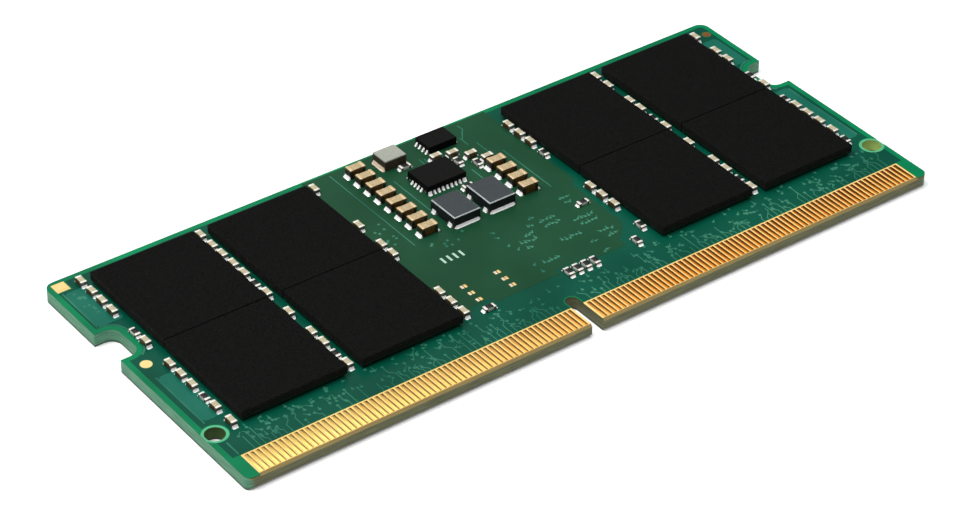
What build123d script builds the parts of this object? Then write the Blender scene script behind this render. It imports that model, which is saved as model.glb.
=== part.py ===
from build123d import *
import os

# A small-outline memory module lying flat, contact edge towards -Y, chips up.
# Millimetres. The origin is under the middle of the board, on the face it rests on.

# ---------------------------------------------------------------- driving sizes
# Board
board_length = 69.6
board_depth = 30.0
board_thickness = 1.2
back_corner_radius = 0.9
front_corner_radius = 0.6
edge_bevel = 0.2

# Latch notches, locating holes and key slot
notch_height = 4.0
notch_depth = 1.9
notch_radius = 1.0
notch_from_contact_edge = 20.0
hole_diameter = 1.7
hole_from_side = 1.0
hole_from_contact_edge = 6.0
hole_mask_clearance = 0.25
key_offset = -1.25
key_width = 1.2
key_depth = 4.0

# Solder mask and the bare rim that carries the board on its underside
mask_thickness = 0.03
underside_rim = 0.2

# Contact fingers
contact_pitch = 0.5
contact_width = 0.35
contact_length = 2.35
contact_thickness = 0.035
contact_end_margin = 1.55
contact_edge_gap = 0.25
contacts_cleared_at_key = 3
contact_strip_height = 2.75
contact_strip_end_gap = 0.2

# Memory chips: ball grid packages in two rows of four
chip_width = 9.8
chip_length = 11.075
chip_from_side = 3.45
chip_from_back = 1.8
chip_column_gap = 1.45
chip_row_gap = 0.1
ball_height = 0.25
ball_radius = 0.225
ball_pitch = 0.8
ball_end_margin = 0.45
ball_columns_each_side = 3
ball_middle_gap = 3.2
substrate_thickness = 0.2
mould_thickness = 0.6
mould_edge_radius = 0.06
die_width = 7.4
die_length = 8.6
die_thickness = 0.22

# Power chip and hub chip, leadless packages
solder_film = 0.05
power_chip_width = 4.0
power_chip_length = 2.95
power_chip_height = 0.85
power_chip_centre = (0.08, 6.3)
power_chip_side_leads = 6
power_chip_end_leads = 9
power_chip_lead_pitch = 0.44
hub_chip_width = 2.9
hub_chip_length = 2.05
hub_chip_height = 0.75
hub_chip_centre = (3.2, 1.9)
hub_chip_side_leads = 4
hub_chip_lead_pitch = 0.5
lead_width = 0.24
lead_length = 0.4
lead_thickness = 0.2
lead_solder_spread = 0.28
lead_solder_rise = 0.22
thermal_pad_margin = 0.75
package_edge_radius = 0.04
small_die_thickness = 0.2

# Power inductors: moulded blocks with a coil inside
inductor_width = 2.7
inductor_length = 3.35
inductor_height = 1.1
inductor_edge_chamfer = 0.08
inductor_from_back = 11.32
inductor_places_across = (-1.66, 2.02)
inductor_terminal_depth = 1.05
inductor_terminal_thickness = 0.15
inductor_terminal_wall = 0.3
inductor_solder_spread = 0.24
inductor_solder_rise = 0.26
coil_outer_radius = 1.05
coil_inner_radius = 0.55
coil_height = 0.5

# Plated inductor near the back edge
plated_inductor_width = 2.2
plated_inductor_length = 1.85
plated_inductor_height = 1.02
plated_inductor_top = 0.12
plated_inductor_edge_chamfer = 0.04
plated_inductor_terminal = 0.32
plated_inductor_solder_rise = 0.28
plated_inductor_centre = (-1.72, 1.9)

# Large capacitors, in two banks beside the power parts
large_capacitor_length = 1.6
large_capacitor_width = 0.88
large_capacitor_height = 0.92
large_capacitor_cap = 0.33
large_capacitor_pitch = 1.486
left_bank_across = -5.12
left_bank_count = 8
right_bank_across = 5.38
right_bank_count = 4
bank_front_from_back = 12.1

# Small capacitors and resistors
small_capacitor_length = 1.05
small_capacitor_width = 0.56
small_capacitor_height = 0.55
small_capacitor_cap = 0.24
resistor_length = 1.05
resistor_width = 0.54
resistor_height = 0.33
resistor_cap = 0.22
resistor_coat = 0.05
cap_wrap = 0.02
solder_spread = 0.2
solder_rise_share = 0.55

# Four resistors in a row near the contacts
resistor_row_count = 4
resistor_row_pitch = 0.9
resistor_row_start = 0.85
resistor_row_from_contacts = 6.5

# Columns of small parts, from the chip edges they stand beside
outer_left_column_gap = 0.77
outer_right_column_gap = 0.95
inner_left_column_gap = 0.85
inner_right_column_gap = 0.5

# Bare gold marks
corner_pad_side = 1.2
corner_pad_from_side = 1.1
corner_pad_from_back = 1.0
round_mark_diameter = 1.0
round_mark_from_side = 1.35
round_mark_from_back = 13.6
end_mark_diameter = 0.8
end_mark_from_side = 1.0
end_mark_from_back = 1.8
spare_pad_size = (0.25, 0.42)
spare_pad_pair_pitch = 0.32
spare_pad_across = (-7.2, -3.8)
spare_pads_from_contacts = (7.95, 9.0, 10.05)

# Printed ticks
tick_size = (0.22, 0.8)
tick_pitch = 0.62
tick_count = 4
tick_centre = (-5.5, 13.9)
ink_thickness = 0.012

# ---------------------------------------------------------------- worked out
back_edge = board_depth / 2
contact_edge = -board_depth / 2
side_edge = board_length / 2
laminate_top = board_thickness - mask_thickness
mask_top = board_thickness
hole_across = side_edge - hole_from_side
hole_places = [(side * hole_across, contact_edge + hole_from_contact_edge) for side in (-1, 1)]
notch_places = [(side * side_edge, contact_edge + notch_from_contact_edge) for side in (-1, 1)]

contact_steps = round((board_length - 2 * contact_end_margin) / contact_pitch)
contact_clear_half = contacts_cleared_at_key * contact_pitch / 2
contact_places = [
    x
    for x in [(step - contact_steps / 2) * contact_pitch for step in range(contact_steps + 1)]
    if abs(x - key_offset) > contact_clear_half
]
contact_middle = contact_edge + contact_edge_gap + contact_length / 2

chip_outer_edge = side_edge - chip_from_side
outer_chip_x = chip_outer_edge - chip_width / 2
inner_chip_x = outer_chip_x - chip_width - chip_column_gap
chip_inner_edge = inner_chip_x - chip_width / 2
back_row_y = back_edge - chip_from_back - chip_length / 2
front_row_y = back_row_y - chip_length - chip_row_gap
chip_places = [
    (x, y)
    for y in (back_row_y, front_row_y)
    for x in (-outer_chip_x, -inner_chip_x, inner_chip_x, outer_chip_x)
]
substrate_bottom = mask_top + ball_height
mould_bottom = substrate_bottom + substrate_thickness
between_chips_x = (outer_chip_x + inner_chip_x) / 2


def from_back(distance):
    """Y of a place that lies this far in front of the back edge."""
    return back_edge - distance


def column(x, distances, turn=90):
    """Places of small parts in one column, long side along the column unless turned."""
    return [(x, from_back(distance), turn) for distance in distances]


# Small capacitors stand in columns beside the chips, at these distances from the back edge.
# The last three are strays round the power chip and the hub chip.
small_capacitor_places = (
    column(-chip_outer_edge - outer_left_column_gap,
           (1.6, 3.3, 4.85, 6.4, 11.4, 15.0, 16.6, 18.2, 21.5, 23.7))
    + column(-between_chips_x, (1.85, 3.6, 5.1, 6.75, 8.35, 11.65, 14.85, 18.05, 19.7, 23.0))
    + column(-chip_inner_edge + inner_left_column_gap, (1.8, 8.35, 11.6, 13.2, 19.7, 21.3, 22.95))
    + column(chip_inner_edge - inner_right_column_gap, (3.55, 5.15, 6.7, 15.05, 16.6, 18.2))
    + column(between_chips_x, (1.9, 3.65, 6.7, 8.2, 11.65, 14.8, 18.1, 19.75, 23.05))
    + column(chip_outer_edge + outer_right_column_gap, (1.95, 4.85, 6.5, 11.5, 15.8, 17.3, 18.85, 20.55))
    + column(right_bank_across, (6.35,), turn=0)
    + [(3.25, from_back(4.2), 0), (4.48, from_back(5.2), 0), (1.78, from_back(3.8), 0)]
)

# Resistors: some share the columns, and the row of four and seven strays stand in the open
# middle. The first three strays are measured from the contact edge, the rest from the back.
resistor_places = (
    column(-chip_outer_edge - outer_left_column_gap, (9.8, 19.95))
    + column(-between_chips_x, (9.95, 21.35))
    + column(chip_inner_edge - inner_right_column_gap, (8.6, 21.75))
    + column(between_chips_x, (9.9, 21.4))
    + column(chip_outer_edge + outer_right_column_gap, (9.6, 14.3, 22.2))
    + [
        (resistor_row_start + step * resistor_row_pitch, contact_edge + resistor_row_from_contacts, 90)
        for step in range(resistor_row_count)
    ]
    + [(-7.35, contact_edge + 6.4, 0), (7.9, contact_edge + 13.6, 0), (8.15, contact_edge + 6.7, 90)]
    + [(3.05, from_back(5.35), 90), (4.3, from_back(6.5), 90)]
    + [(-1.15, from_back(3.35), 0), (1.5, from_back(8.85), 0)]
)

large_capacitor_places = [
    (x, from_back(bank_front_from_back - step * large_capacitor_pitch), 0)
    for x, count in ((left_bank_across, left_bank_count), (right_bank_across, right_bank_count))
    for step in range(count)
]

pieces = {}

# ---------------------------------------------------------------- board
with BuildSketch() as board_outline:
    Rectangle(board_length, board_depth)
    fillet(board_outline.vertices().group_by(Axis.Y)[-1], back_corner_radius)
    fillet(board_outline.vertices().group_by(Axis.Y)[0], front_corner_radius)
    with Locations(*notch_places):
        RectangleRounded(2 * notch_depth, notch_height, notch_radius, mode=Mode.SUBTRACT)
    with Locations((key_offset, contact_edge)):
        SlotOverall(2 * key_depth, key_width, rotation=90, mode=Mode.SUBTRACT)
    with Locations(*hole_places):
        Circle(hole_diameter / 2, mode=Mode.SUBTRACT)

# The underside has a pocket as deep as the mask, so that the laminate's own rim is what
# the board lies on and the mask and contacts are flush with it.
with BuildSketch() as underside_pocket:
    add(board_outline.sketch)
    offset(amount=-underside_rim)

with BuildPart() as board_laminate:
    add(board_outline.sketch)
    extrude(amount=laminate_top)
    with BuildSketch(Plane.YZ):
        for height, rise in ((0, edge_bevel), (laminate_top, -edge_bevel)):
            with BuildLine():
                Polyline(
                    (contact_edge, height),
                    (contact_edge + edge_bevel, height),
                    (contact_edge, height + rise),
                    close=True,
                )
            make_face()
    extrude(amount=side_edge, both=True, mode=Mode.SUBTRACT)
    add(underside_pocket.sketch)
    extrude(amount=mask_thickness, mode=Mode.SUBTRACT)
pieces["board_laminate"] = board_laminate

# Bare metal marks show through windows of their own shape in the front mask.
with BuildSketch() as corner_marks:
    with Locations((-side_edge + corner_pad_from_side, back_edge - corner_pad_from_back)):
        Rectangle(corner_pad_side, corner_pad_side)
    with Locations((-side_edge + round_mark_from_side, from_back(round_mark_from_back))):
        Circle(round_mark_diameter / 2)
    with Locations((side_edge - end_mark_from_side, from_back(end_mark_from_back))):
        Circle(end_mark_diameter / 2)

with BuildSketch() as spare_pad_shapes:
    with Locations(*[(x, contact_edge + up) for x in spare_pad_across for up in spare_pads_from_contacts]):
        with GridLocations(spare_pad_pair_pitch, 1, 2, 1):
            Rectangle(*spare_pad_size)

with BuildPart() as front_solder_mask:
    with BuildSketch(Plane.XY.offset(laminate_top)):
        add(board_outline.sketch)
        with Locations((0, contact_edge)):
            Rectangle(
                board_length - 2 * contact_end_margin + contact_width + 2 * contact_strip_end_gap,
                2 * contact_strip_height,
                mode=Mode.SUBTRACT,
            )
        with Locations(*hole_places):
            Circle(hole_diameter / 2 + hole_mask_clearance, mode=Mode.SUBTRACT)
        add(corner_marks.sketch, mode=Mode.SUBTRACT)
        add(spare_pad_shapes.sketch, mode=Mode.SUBTRACT)
    extrude(amount=mask_thickness)
pieces["front_solder_mask"] = front_solder_mask

with BuildPart() as back_solder_mask:
    with BuildSketch():
        add(underside_pocket.sketch)
        with Locations((0, contact_edge)):
            Rectangle(board_length, 2 * contact_strip_height, mode=Mode.SUBTRACT)
    extrude(amount=mask_thickness)
pieces["back_solder_mask"] = back_solder_mask

with BuildPart() as gold_marks:
    with BuildSketch(Plane.XY.offset(laminate_top)):
        add(corner_marks.sketch)
    extrude(amount=mask_thickness)
pieces["gold_marks"] = gold_marks

with BuildPart() as spare_pads:
    with BuildSketch(Plane.XY.offset(laminate_top)):
        add(spare_pad_shapes.sketch)
    extrude(amount=mask_thickness)
pieces["spare_pads"] = spare_pads

with BuildPart() as printed_ticks:
    with BuildSketch(Plane.XY.offset(mask_top)):
        with Locations((tick_centre[0], contact_edge + tick_centre[1])):
            with GridLocations(tick_pitch, 1, tick_count, 1):
                Rectangle(*tick_size)
    extrude(amount=ink_thickness)
pieces["printed_ticks"] = printed_ticks

# ---------------------------------------------------------------- contact fingers
for name, height, thickness in (
    ("front_contacts", laminate_top, contact_thickness),
    ("back_contacts", 0, mask_thickness),
):
    with BuildPart() as contacts:
        with BuildSketch(Plane.XY.offset(height)):
            with Locations(*[(x, contact_middle) for x in contact_places]):
                Rectangle(contact_width, contact_length)
        extrude(amount=thickness)
    pieces[name] = contacts

# ---------------------------------------------------------------- memory chips
for number, place in enumerate(chip_places, start=1):
    with BuildPart() as memory_chip:
        with BuildSketch(Plane.XY.offset(mould_bottom)):
            with Locations(place):
                Rectangle(chip_width, chip_length)
        extrude(amount=mould_thickness)
        fillet(memory_chip.edges().group_by(Axis.Z)[-1], mould_edge_radius)
        with BuildSketch(Plane.XY.offset(mould_bottom)):
            with Locations(place):
                Rectangle(die_width, die_length)
        extrude(amount=die_thickness, mode=Mode.SUBTRACT)
    pieces[f"memory_chip_{number}"] = memory_chip

with BuildPart() as memory_chip_substrates:
    with BuildSketch(Plane.XY.offset(substrate_bottom)):
        with Locations(*chip_places):
            Rectangle(chip_width, chip_length)
    extrude(amount=substrate_thickness)
pieces["memory_chip_substrates"] = memory_chip_substrates

with BuildPart() as memory_dies:
    with BuildSketch(Plane.XY.offset(mould_bottom)):
        with Locations(*chip_places):
            Rectangle(die_width, die_length)
    extrude(amount=die_thickness)
pieces["memory_dies"] = memory_dies

# One soldered ball is a sphere flattened by the pad above and the pad below.
with BuildPart() as solder_ball:
    Sphere(ball_radius)
    split(bisect_by=Plane.XY.offset(ball_height / 2), keep=Keep.BOTTOM)
    split(bisect_by=Plane.XY.offset(-ball_height / 2), keep=Keep.TOP)

ball_columns = [
    side * (ball_middle_gap / 2 + step * ball_pitch)
    for side in (-1, 1)
    for step in range(ball_columns_each_side)
]
# As many rows as the chip's length holds, with the outer rows clear of its ends.
ball_rows = int((chip_length - 2 * ball_end_margin) / ball_pitch) + 1
ball_row_places = [(row - (ball_rows - 1) / 2) * ball_pitch for row in range(ball_rows)]
with BuildPart() as memory_solder_balls:
    with Locations(
        *[
            (x + across, y + along, mask_top + ball_height / 2)
            for x, y in chip_places
            for across in ball_columns
            for along in ball_row_places
        ]
    ):
        add(solder_ball.part)
pieces["memory_solder_balls"] = memory_solder_balls


# ---------------------------------------------------------------- solder fillets
def solder_fillets(joints, spread, rise, width):
    """Wedges of solder standing on the mask. A joint is (x, y, direction in degrees)."""
    with BuildPart() as wedge:
        with BuildSketch(Plane.XZ):
            with BuildLine():
                Polyline((0, 0), (spread, 0), (0, rise), close=True)
            make_face()
        extrude(amount=width / 2, both=True)
    with BuildPart() as fillets:
        with Locations(*[Location((x, y, mask_top), (0, 0, turn)) for x, y, turn in joints]):
            add(wedge.part)
    return fillets


def end_joints(places, length):
    """Joints at both ends of each part that stands at (x, y, turn)."""
    joints = []
    for x, y, turn in places:
        for side in (1, -1):
            reach = Vector(side * length / 2, 0).rotate(Axis.Z, turn)
            joints.append((x + reach.X, y + reach.Y, turn + (0 if side > 0 else 180)))
    return joints


# ---------------------------------------------------------------- leadless packages
def rows_of_leads(centre, half_size, count, pitch, turns):
    """Lead places along the package sides that face the directions in turns."""
    leads = []
    for turn in turns:
        for step in range(count):
            slide = (step - (count - 1) / 2) * pitch
            reach = Vector(half_size, slide).rotate(Axis.Z, turn)
            leads.append((centre[0] + reach.X, centre[1] + reach.Y, turn))
    return leads


def leadless_package(name, centre, width, length, height, leads):
    """Body, inner die, thermal pad, leads and solder of one flat package."""
    bottom = mask_top + solder_film
    pad_size = (width - 2 * thermal_pad_margin, length - 2 * thermal_pad_margin)

    with BuildPart() as lead_blocks:
        with Locations(*[Location((x, y, bottom), (0, 0, turn)) for x, y, turn in leads]):
            Box(lead_length, lead_width, lead_thickness, align=(Align.MAX, Align.CENTER, Align.MIN))
    with BuildPart() as thermal_pad:
        with Locations((*centre, bottom)):
            Box(*pad_size, lead_thickness, align=(Align.CENTER, Align.CENTER, Align.MIN))
    with BuildPart() as die:
        with Locations((*centre, bottom + lead_thickness)):
            Box(*pad_size, small_die_thickness, align=(Align.CENTER, Align.CENTER, Align.MIN))
    with BuildPart() as body:
        with Locations((*centre, bottom)):
            Box(width, length, height - solder_film, align=(Align.CENTER, Align.CENTER, Align.MIN))
        fillet(body.edges().group_by(Axis.Z)[-1], package_edge_radius)
        for inner in (lead_blocks, thermal_pad, die):
            add(inner.part, mode=Mode.SUBTRACT)
    with BuildPart() as solder:
        with Locations(*[Location((x, y, mask_top), (0, 0, turn)) for x, y, turn in leads]):
            Box(lead_length, lead_width, solder_film, align=(Align.MAX, Align.CENTER, Align.MIN))
        with Locations((*centre, mask_top)):
            Box(*pad_size, solder_film, align=(Align.CENTER, Align.CENTER, Align.MIN))
        add(solder_fillets(leads, lead_solder_spread, lead_solder_rise, lead_width).part)
    pieces[f"{name}_body"] = body
    pieces[f"{name}_die"] = die
    pieces[f"{name}_thermal_pad"] = thermal_pad
    pieces[f"{name}_leads"] = lead_blocks
    pieces[f"{name}_solder"] = solder


power_centre = (power_chip_centre[0], from_back(power_chip_centre[1]))
leadless_package(
    "power_chip",
    power_centre,
    power_chip_width,
    power_chip_length,
    power_chip_height,
    rows_of_leads(
        power_centre, power_chip_width / 2, power_chip_side_leads, power_chip_lead_pitch, turns=(0, 180)
    )
    + rows_of_leads(
        power_centre, power_chip_length / 2, power_chip_end_leads, power_chip_lead_pitch, turns=(90, 270)
    ),
)

hub_centre = (hub_chip_centre[0], from_back(hub_chip_centre[1]))
leadless_package(
    "hub_chip",
    hub_centre,
    hub_chip_width,
    hub_chip_length,
    hub_chip_height,
    rows_of_leads(hub_centre, hub_chip_width / 2, hub_chip_side_leads, hub_chip_lead_pitch, turns=(0, 180)),
)

# ---------------------------------------------------------------- power inductors
inductor_places = [(x, from_back(inductor_from_back)) for x in inductor_places_across]
terminal_slide = (inductor_length - inductor_terminal_depth) / 2
terminal_places = [(x, y + side * terminal_slide) for x, y in inductor_places for side in (-1, 1)]
inductor_bottom = mask_top + solder_film
coil_bottom = inductor_bottom + inductor_terminal_wall

with BuildPart() as power_inductor_terminals:
    with Locations(*[(x, y, inductor_bottom) for x, y in terminal_places]):
        Box(
            inductor_width,
            inductor_terminal_depth,
            inductor_terminal_thickness,
            align=(Align.CENTER, Align.CENTER, Align.MIN),
        )
pieces["power_inductor_terminals"] = power_inductor_terminals

with BuildPart() as power_inductor_coils:
    with BuildSketch(Plane.XY.offset(coil_bottom)):
        with Locations(*inductor_places):
            Circle(coil_outer_radius)
            Circle(coil_inner_radius, mode=Mode.SUBTRACT)
    extrude(amount=coil_height)
pieces["power_inductor_coils"] = power_inductor_coils

for name, place in zip(("power_inductor_left", "power_inductor_right"), inductor_places):
    with BuildPart() as inductor_body:
        with Locations((*place, inductor_bottom)):
            Box(
                inductor_width,
                inductor_length,
                inductor_height - solder_film,
                align=(Align.CENTER, Align.CENTER, Align.MIN),
            )
        chamfer(inductor_body.edges().group_by(Axis.Z)[-1], inductor_edge_chamfer)
        add(power_inductor_terminals.part, mode=Mode.SUBTRACT)
        add(power_inductor_coils.part, mode=Mode.SUBTRACT)
    pieces[name] = inductor_body

with BuildPart() as power_inductor_solder:
    with Locations(*[(x, y, mask_top) for x, y in terminal_places]):
        Box(
            inductor_width,
            inductor_terminal_depth,
            solder_film,
            align=(Align.CENTER, Align.CENTER, Align.MIN),
        )
    end_reach = inductor_length / 2
    add(
        solder_fillets(
            [(x, y + side * end_reach, 90 * side) for x, y in inductor_places for side in (-1, 1)],
            inductor_solder_spread,
            inductor_solder_rise,
            inductor_width,
        ).part
    )
    add(
        solder_fillets(
            [
                (x + side * inductor_width / 2, y, 90 - 90 * side)
                for x, y in terminal_places
                for side in (-1, 1)
            ],
            inductor_solder_spread,
            inductor_solder_rise,
            inductor_terminal_depth / 2,
        ).part
    )
pieces["power_inductor_solder"] = power_inductor_solder

# ---------------------------------------------------------------- plated inductor
plated_place = (plated_inductor_centre[0], from_back(plated_inductor_centre[1]))
plated_core_width = plated_inductor_width - 2 * plated_inductor_terminal
plated_core_height = plated_inductor_height - plated_inductor_top
with BuildPart() as plated_inductor_core:
    with Locations((*plated_place, mask_top)):
        Box(
            plated_core_width,
            plated_inductor_length,
            plated_core_height,
            align=(Align.CENTER, Align.CENTER, Align.MIN),
        )
pieces["plated_inductor_core"] = plated_inductor_core

with BuildPart() as plated_inductor_terminals:
    for side in (-1, 1):
        with Locations((plated_place[0] + side * plated_core_width / 2, plated_place[1], mask_top)):
            Box(
                plated_inductor_terminal,
                plated_inductor_length,
                plated_core_height,
                align=(Align.MAX if side < 0 else Align.MIN, Align.CENTER, Align.MIN),
            )
pieces["plated_inductor_terminals"] = plated_inductor_terminals

pieces["plated_inductor_solder"] = solder_fillets(
    [
        (plated_place[0] + side * plated_inductor_width / 2, plated_place[1], 90 - 90 * side)
        for side in (-1, 1)
    ],
    inductor_solder_spread,
    plated_inductor_solder_rise,
    plated_inductor_length,
)

with BuildPart() as plated_inductor_cover:
    with Locations((*plated_place, mask_top + plated_core_height)):
        Box(
            plated_inductor_width,
            plated_inductor_length,
            plated_inductor_top,
            align=(Align.CENTER, Align.CENTER, Align.MIN),
        )
    chamfer(plated_inductor_cover.edges().group_by(Axis.Z)[-1], plated_inductor_edge_chamfer)
pieces["plated_inductor_cover"] = plated_inductor_cover


# ---------------------------------------------------------------- capacitors and resistors
def end_capped_parts(name, places, length, width, height, cap, coat=0):
    """Bodies, metal end caps and solder for every part of one size.

    A coat is a film on top of the body, between the caps.
    """
    stands = [Location((x, y, mask_top), (0, 0, turn)) for x, y, turn in places]
    middle = length - 2 * cap
    inner_width = width - 2 * cap_wrap
    body_height = height - 2 * cap_wrap - coat
    with BuildPart() as bodies:
        with Locations(*[stand * Location((0, 0, cap_wrap)) for stand in stands]):
            Box(middle, inner_width, body_height, align=(Align.CENTER, Align.CENTER, Align.MIN))
    pieces[f"{name}_bodies"] = bodies
    if coat:
        with BuildPart() as coats:
            with Locations(*[stand * Location((0, 0, cap_wrap + body_height)) for stand in stands]):
                Box(middle, inner_width, coat, align=(Align.CENTER, Align.CENTER, Align.MIN))
        pieces[f"{name}_coats"] = coats
    end_slides = [Location((side * (length - cap) / 2, 0, 0)) for side in (-1, 1)]
    with BuildPart() as caps:
        with Locations(*[stand * slide for stand in stands for slide in end_slides]):
            Box(cap, width, height, align=(Align.CENTER, Align.CENTER, Align.MIN))
    pieces[f"{name}_end_caps"] = caps
    pieces[f"{name}_solder"] = solder_fillets(
        end_joints(places, length), solder_spread, height * solder_rise_share, width
    )


end_capped_parts(
    "large_capacitor",
    large_capacitor_places,
    large_capacitor_length,
    large_capacitor_width,
    large_capacitor_height,
    large_capacitor_cap,
)
end_capped_parts(
    "small_capacitor",
    small_capacitor_places,
    small_capacitor_length,
    small_capacitor_width,
    small_capacitor_height,
    small_capacitor_cap,
)
end_capped_parts(
    "resistor",
    resistor_places,
    resistor_length,
    resistor_width,
    resistor_height,
    resistor_cap,
    coat=resistor_coat,
)

# ---------------------------------------------------------------- write the pieces
os.makedirs("parts", exist_ok=True)
for name, piece in pieces.items():
    piece.part.label = name
    export_step(piece.part, f"parts/{name}.step")
    print(f"{name}: {len(piece.part.solids())} solids, {piece.part.volume:.3f} mm3")
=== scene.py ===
# %% [markdown]
# # A memory module, lying flat
#
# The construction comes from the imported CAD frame: board, chips, inductors, capacitors.
# This script gives each of those pieces its finish, and builds the fine pieces whose look
# depends on rounded edges and relief: solder, end caps, contact fingers, copper tracks
# under the green mask.

import math
import random

import bmesh
import bpy
from mathutils import Matrix, Vector


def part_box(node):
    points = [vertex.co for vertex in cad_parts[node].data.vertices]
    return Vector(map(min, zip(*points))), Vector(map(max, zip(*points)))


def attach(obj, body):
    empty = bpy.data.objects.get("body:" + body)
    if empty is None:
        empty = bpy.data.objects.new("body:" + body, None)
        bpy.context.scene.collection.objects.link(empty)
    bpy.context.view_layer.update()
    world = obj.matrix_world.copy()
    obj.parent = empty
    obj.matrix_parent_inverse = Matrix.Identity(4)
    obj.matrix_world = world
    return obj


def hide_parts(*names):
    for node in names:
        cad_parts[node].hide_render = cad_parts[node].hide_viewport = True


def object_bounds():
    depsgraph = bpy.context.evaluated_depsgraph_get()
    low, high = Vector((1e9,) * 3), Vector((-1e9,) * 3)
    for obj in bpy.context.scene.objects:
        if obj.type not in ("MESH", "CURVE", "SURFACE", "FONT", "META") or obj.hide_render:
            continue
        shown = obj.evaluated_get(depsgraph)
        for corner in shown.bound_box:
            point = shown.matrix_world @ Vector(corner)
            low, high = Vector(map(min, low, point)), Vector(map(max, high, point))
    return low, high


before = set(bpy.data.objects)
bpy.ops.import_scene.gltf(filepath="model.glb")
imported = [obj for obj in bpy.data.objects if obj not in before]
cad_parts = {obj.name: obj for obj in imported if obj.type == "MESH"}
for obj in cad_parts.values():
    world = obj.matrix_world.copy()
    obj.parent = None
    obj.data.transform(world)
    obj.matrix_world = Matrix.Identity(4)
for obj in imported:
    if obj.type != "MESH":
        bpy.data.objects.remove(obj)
cad_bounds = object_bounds()
MM = 0.001
random.seed(7)
cad_size = cad_bounds[1] - cad_bounds[0]
print(f"{len(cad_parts)} CAD nodes, {[round(1000 * v, 2) for v in cad_size]} mm")

# %% [markdown]
# Everything below is placed from the frame. The board's own box gives the edges, and the
# separate solids inside one node, such as the fingers of a contact row, are found by
# walking over the node's faces.

# %% Boxes and places
board_low, board_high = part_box("board_laminate")
mask_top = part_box("front_solder_mask")[1].z
contact_edge = board_low.y
side_edge = board_high.x
back_edge = board_high.y
hole_x = side_edge - 1.0 * MM
hole_y = contact_edge + 6.0 * MM


def solids_of(node):
    """Boxes of the separate solids in one CAD node, as (low, high) pairs."""
    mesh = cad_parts[node].data
    keys = [tuple(round(c * 1e6) for c in vertex.co) for vertex in mesh.vertices]
    leader = {key: key for key in keys}

    def lead(key):
        while leader[key] != key:
            leader[key] = leader[leader[key]]
            key = leader[key]
        return key

    for polygon in mesh.polygons:
        first = lead(keys[polygon.vertices[0]])
        for index in polygon.vertices[1:]:
            leader[lead(keys[index])] = first
    boxes = {}
    for key, vertex in zip(keys, mesh.vertices):
        low, high = boxes.setdefault(lead(key), (vertex.co.copy(), vertex.co.copy()))
        for axis in range(3):
            low[axis] = min(low[axis], vertex.co[axis])
            high[axis] = max(high[axis], vertex.co[axis])
    return sorted(boxes.values(), key=lambda box: tuple(box[0]))


finger_boxes = solids_of("front_contacts")
print(f"{len(finger_boxes)} contact fingers on the chip face")

# %% [markdown]
# ## Camera and light
#
# A long lens from the front left, well above the board. The background is a white floor
# under a bright, even room, with one soft lamp high on the left, and a card behind the
# board that only the left contacts mirror.

# %% Camera
camera_place = Vector((-132.065, -170.183, 154.376)) * MM
camera_aim = Vector((-2.799, -2.11, 0.658)) * MM
camera_roll = math.radians(1.107)
camera_data = bpy.data.cameras.new("camera")
camera_data.lens = 117.68
camera_data.sensor_width = 36
camera_data.clip_start = 0.01
camera_data.clip_end = 10
camera = bpy.data.objects.new("camera", camera_data)
bpy.context.scene.collection.objects.link(camera)
ahead = (camera_aim - camera_place).normalized()
level_right = ahead.cross(Vector((0, 0, 1))).normalized()
level_up = level_right.cross(ahead)
right = level_right * math.cos(camera_roll) + level_up * math.sin(camera_roll)
up = right.cross(ahead)
facing = Matrix((right, up, -ahead)).transposed().to_4x4()
camera.matrix_world = Matrix.Translation(camera_place) @ facing
bpy.context.scene.camera = camera
print("camera", round((camera_aim - camera_place).length * 1000), "mm away")


# %% Colour helper
def srgb(red, green, blue):
    """A colour named in 0 to 255 screen values, as the linear colour a shader takes."""
    channels = []
    for value in (red, green, blue):
        share = value / 255
        channels.append(share / 12.92 if share <= 0.04045 else ((share + 0.055) / 1.055) ** 2.4)
    return (*channels, 1)


# %% World
world = bpy.data.worlds.new("room")
bpy.context.scene.world = world
world.use_nodes = True
room = world.node_tree
room.nodes.clear()
room_out = room.nodes.new("ShaderNodeOutputWorld")
room_mix = room.nodes.new("ShaderNodeMixShader")
room_seen = room.nodes.new("ShaderNodeBackground")
room_seen.inputs["Color"].default_value = (1, 1, 1, 1)
room_seen.inputs["Strength"].default_value = 1
room_light = room.nodes.new("ShaderNodeBackground")
room_light.inputs["Color"].default_value = (1, 1, 1, 1)
room_side = room.nodes.new("ShaderNodeTexCoord")
room_split = room.nodes.new("ShaderNodeSeparateXYZ")
room_height = room.nodes.new("ShaderNodeMapRange")
room_height.inputs["From Min"].default_value = 0.66
room_height.inputs["From Max"].default_value = 0.92
room_height.inputs["To Min"].default_value = 0.13
room_height.inputs["To Max"].default_value = 2.0
room.links.new(room_side.outputs["Generated"], room_split.inputs[0])
room.links.new(room_split.outputs["Z"], room_height.inputs["Value"])
room.links.new(room_height.outputs["Result"], room_light.inputs["Strength"])
room_path = room.nodes.new("ShaderNodeLightPath")
room.links.new(room_path.outputs["Is Camera Ray"], room_mix.inputs["Fac"])
room.links.new(room_light.outputs[0], room_mix.inputs[1])
room.links.new(room_seen.outputs[0], room_mix.inputs[2])
room.links.new(room_mix.outputs[0], room_out.inputs["Surface"])


# %% Lamps
def soft_lamp(name, place, aim, size, power):
    """A square area lamp that points at aim, out of the camera's sight."""
    lamp = bpy.data.lights.new(name, "AREA")
    lamp.shape = "SQUARE"
    lamp.size = size
    lamp.energy = power
    piece = bpy.data.objects.new(name, lamp)
    bpy.context.scene.collection.objects.link(piece)
    piece.location = place
    piece.rotation_mode = "QUATERNION"
    piece.rotation_quaternion = (Vector(aim) - Vector(place)).to_track_quat("-Z", "Y")
    piece.visible_camera = False


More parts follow.
